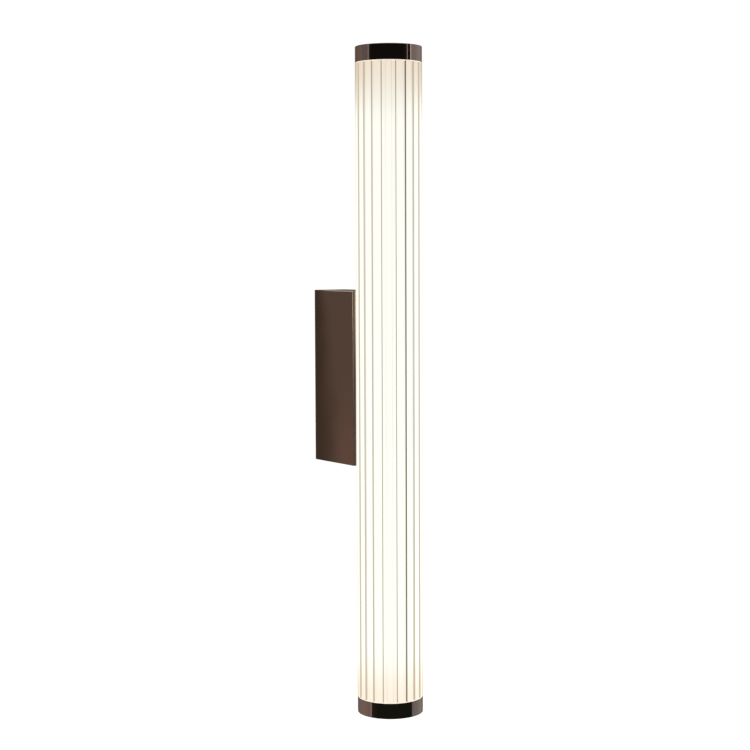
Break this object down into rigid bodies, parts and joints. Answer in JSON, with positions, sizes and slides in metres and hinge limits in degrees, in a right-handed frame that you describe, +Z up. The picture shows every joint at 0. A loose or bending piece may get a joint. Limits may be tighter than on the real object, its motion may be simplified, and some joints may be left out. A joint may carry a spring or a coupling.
{
  "type": "led wall light",
  "caption": "Slim vertical LED wall light: a ribbed opal tube with polished bronze end caps, carried on a slim box that screws to a wall bracket.",
  "frame": {"origin": "middle of the two wall slots, on the wall plane", "axes": "+X to the right when facing the wall, +Y into the wall, +Z up along the tube"},
  "size_m": [0.0602, 0.1257, 0.6],
  "materials": {
    "polished_bronze": "turned brass, polished, plated dark bronze",
    "satin_bronze": "satin dark bronze finish on cast aluminium",
    "bronze_anodised": "satin bronze anodised extrusion",
    "opal_acrylic": "opal acrylic, lit from inside",
    "clear_silicone": "translucent silicone",
    "black_foam": "closed-cell foam",
    "black_rubber": "moulded rubber",
    "zinc_steel": "bright zinc plated steel",
    "dark_screws": "steel, dark bronze finish",
    "brass": "plain brass",
    "tinned_copper": "tinned copper",
    "white_nylon": "moulded nylon",
    "driver_plastic": "moulded plastic",
    "green_laminate": "glass fibre laminate",
    "ferrite": "ferrite core with taped winding",
    "capacitor_sleeve": "sleeved aluminium can",
    "brown_insulation": "PVC insulation",
    "blue_insulation": "PVC insulation",
    "green_yellow_insulation": "PVC insulation",
    "red_insulation": "PVC insulation",
    "black_insulation": "PVC insulation",
    "white_insulation": "PVC insulation",
    "plain_aluminium": "turned aluminium",
    "white_laminate": "aluminium board with white solder mask",
    "led_phosphor": "phosphor over the LED dies"
  },
  "bodies": {
    "root": {"top_cap": "polished_bronze", "bottom_cap": "polished_bronze", "back_box": "satin_bronze", "mounting_pad": "satin_bronze", "rear_spine": "bronze_anodised", "diffuser": "opal_acrylic", "upper_cap_gasket": "clear_silicone", "lower_cap_gasket": "clear_silicone", "wall_gasket": "black_foam", "cable_grommet": "black_rubber", "lead_bush": "black_rubber", "wall_bracket": "zinc_steel", "clinch_nuts": "zinc_steel", "neck_screws": "zinc_steel", "neck_washers": "zinc_steel", "driver_screws": "zinc_steel", "board_screws": "zinc_steel", "end_plate_screws": "zinc_steel", "upper_cap_stud": "zinc_steel", "lower_cap_stud": "zinc_steel", "terminal_screws": "zinc_steel", "terminal_fixing_screws": "zinc_steel", "box_fixing_screws": "dark_screws", "terminal_sleeves": "brass", "earth_screw": "brass", "earth_washer": "brass", "earth_ring": "tinned_copper", "terminal_block": "white_nylon", "board_connectors": "white_nylon", "driver_case": "driver_plastic", "driver_cover": "driver_plastic", "driver_board": "green_laminate", "driver_transformer": "ferrite", "driver_capacitors": "capacitor_sleeve", "live_lead": "brown_insulation", "neutral_lead": "blue_insulation", "earth_lead": "green_yellow_insulation", "led_plus_lead": "red_insulation", "led_minus_lead": "black_insulation", "board_link_leads": "white_insulation", "upper_end_plate": "plain_aluminium", "lower_end_plate": "plain_aluminium", "upper_led_board": "white_laminate", "lower_led_board": "white_laminate", "upper_led_chips": "led_phosphor", "lower_led_chips": "led_phosphor"}
  },
  "joints": []
}
